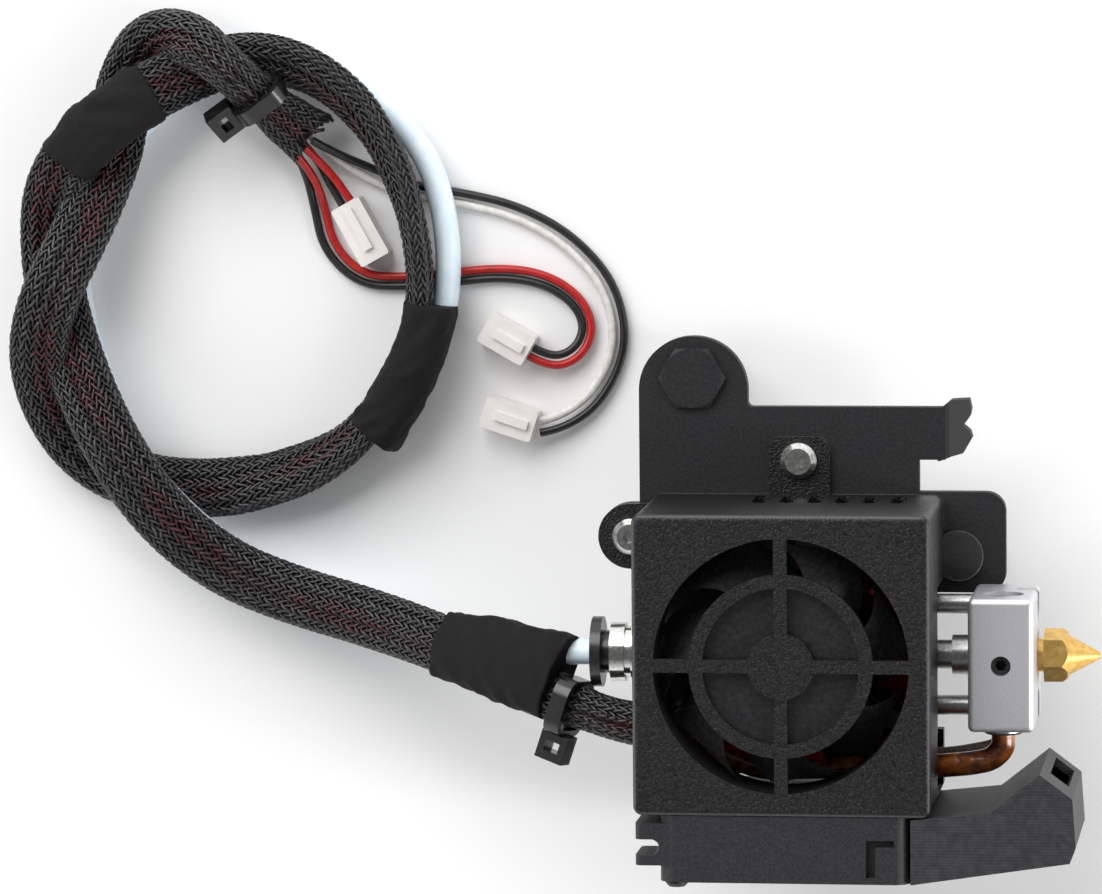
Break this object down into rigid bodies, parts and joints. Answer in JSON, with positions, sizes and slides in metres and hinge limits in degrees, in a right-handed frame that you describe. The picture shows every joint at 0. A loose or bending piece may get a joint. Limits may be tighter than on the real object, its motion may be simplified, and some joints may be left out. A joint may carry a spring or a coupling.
{
  "type": "hotend assembly",
  "caption": "Filament printer hotend carriage: plate with wheel axles, fan shroud over a heat sink, heater block and brass nozzle, side blower with duct, tube coupler and a coiled harness.",
  "frame": {"origin": "on the surface the assembly lies on, under the middle of the assembly without its harness", "axes": "+X the way the nozzle points, +Y towards the upper wheel axle, +Z out of the fan's face, away from the plate"},
  "size_m": [0.1728, 0.1328, 0.055],
  "materials": {
    "black_plate": "matt black powder coat",
    "shroud_black": "black powder coat with a fine sparkle",
    "steel": "zinc-plated steel",
    "fan_black": "semi-matt black plastic",
    "rotor_black": "semi-gloss black plastic",
    "copper": "enamelled copper winding on laminations",
    "sink_red": "anodised aluminium",
    "block_aluminium": "machined aluminium",
    "brass": "machined brass",
    "nickel": "nickel plate",
    "collet_black": "black plastic",
    "tube_white": "translucent white fluoropolymer",
    "duct_grey": "printed dark grey plastic",
    "amber_film": "glossy amber film wrap",
    "wire_red": "silicone insulation",
    "wire_black": "silicone insulation",
    "wire_white": "silicone insulation",
    "braid": "woven black sleeve with light flecks",
    "tape": "matt cloth tape",
    "connector_white": "natural nylon",
    "tie_black": "black nylon"
  },
  "bodies": {
    "carriage": {"carriage_plate": "black_plate", "wheel_bolts": "steel", "fan_shroud": "shroud_black", "shroud_screws": "steel", "fan_frame": "fan_black", "fan_stator": "copper", "fan_studs": "steel", "fan_nuts": "steel", "heatsink": "sink_red", "sink_screws": "steel", "heat_break": "steel", "block_bolts": "steel", "heater_block": "block_aluminium", "heater_cartridge": "steel", "grub_screw": "steel", "thermistor": "steel", "nozzle": "brass", "coupler_body": "nickel", "liner_tube": "tube_white", "blower_case": "fan_black", "blower_cover": "fan_black", "blower_screws": "steel", "air_duct": "duct_grey", "duct_screw": "steel", "heater_leads": "amber_film", "sensor_leads": "wire_white", "fan_leads": "wire_red", "harness_cord": "braid", "guide_tube": "tube_white", "lead_a_red": "wire_red", "lead_a_black": "wire_black", "lead_b_red": "wire_red", "lead_b_black": "wire_black", "lead_c_white": "wire_white", "lead_c_black": "wire_black", "connector_a": "connector_white", "connector_b": "connector_white", "connector_c": "connector_white", "tape_near": "tape", "tape_ring": "tape", "tape_top": "tape", "tie_near": "tie_black", "tie_top": "tie_black"},
    "fan_rotor": {"fan_rotor": "rotor_black"},
    "blower_impeller": {"blower_impeller": "rotor_black"},
    "coupler_collet": {"coupler_collet": "collet_black"},
    "eccentric_axle": {"eccentric_nut": "steel", "eccentric_bolt": "steel"}
  },
  "joints": [
    {"name": "fan_spin", "type": "hinge", "parent": "carriage", "child": "fan_rotor", "pos_m": [-0.00785, -0.0069, 0.049], "axis": [0, 0, 1], "continuous": true},
    {"name": "impeller_spin", "type": "hinge", "parent": "carriage", "child": "blower_impeller", "pos_m": [-0.01125, -0.0344, 0.035], "axis": [0, 1, 0], "continuous": true},
    {"name": "collet_press", "type": "slide", "parent": "carriage", "child": "coupler_collet", "axis": [1, 0, 0], "range_m": [0, 0.001], "stiffness_N_per_m": 400},
    {"name": "eccentric_turn", "type": "hinge", "parent": "carriage", "child": "eccentric_axle", "pos_m": [0.01645, 0.0063, 0.024], "axis": [0, 0, 1], "continuous": true}
  ]
}
